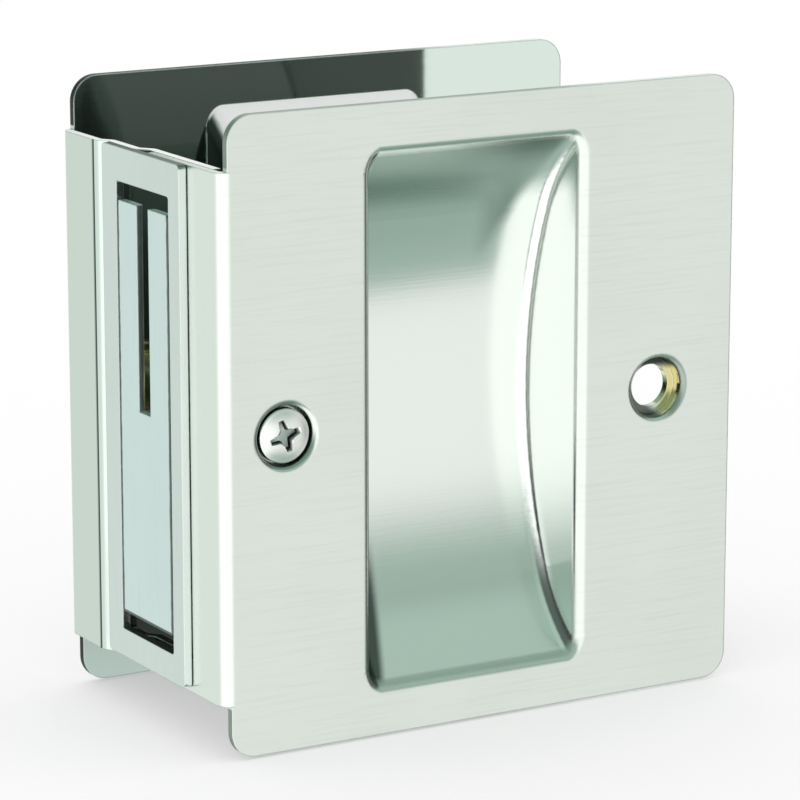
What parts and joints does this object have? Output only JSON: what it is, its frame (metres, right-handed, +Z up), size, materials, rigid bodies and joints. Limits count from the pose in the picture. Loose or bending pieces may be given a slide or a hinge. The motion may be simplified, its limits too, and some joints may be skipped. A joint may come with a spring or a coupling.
{
  "type": "pocket door lock",
  "caption": "Notch-mount passage pocket door lock: two pressed plates with deep finger cups, folded edges that telescope across the door edge, and a sprung edge pull in a window.",
  "frame": {"origin": "under the middle of the lock's bounding box, level with the plates' lower edges", "axes": "+X from the door edge into the door, +Y from the front plate to the back plate, +Z up"},
  "size_m": [0.0722, 0.0384, 0.0762],
  "materials": {
    "satin_nickel": "fine brushed satin nickel plate on pressed steel",
    "pull_nickel": "smooth satin nickel plate",
    "screw_nickel": "bright nickel plate",
    "inner_steel": "plain zinc-plated steel",
    "spring_steel": "drawn spring wire",
    "post_brass": "turned yellow brass"
  },
  "bodies": {
    "back_half": {"back_plate": "satin_nickel", "edge_faceplate": "satin_nickel", "pull_bracket": "inner_steel", "pull_pin": "inner_steel", "pin_clip": "spring_steel", "pull_spring": "spring_steel", "screw_post_edge": "post_brass", "screw_post_inner": "post_brass"},
    "front_half": {"front_plate": "satin_nickel", "mounting_screw": "screw_nickel"},
    "pull": {"edge_pull": "pull_nickel"}
  },
  "joints": [
    {"name": "halves_slide", "type": "slide", "parent": "back_half", "child": "front_half", "axis": [0, -1, 0], "range_m": [-0.0016, 0.0079]},
    {"name": "pull_hinge", "type": "hinge", "parent": "back_half", "child": "pull", "pos_m": [-0.02958, 0, 0.025], "axis": [0, -1, 0], "range_deg": [0, 35], "stiffness_Nm_per_rad": 0.03, "springref_deg": -17.19, "deforming": ["pull_spring"]}
  ]
}
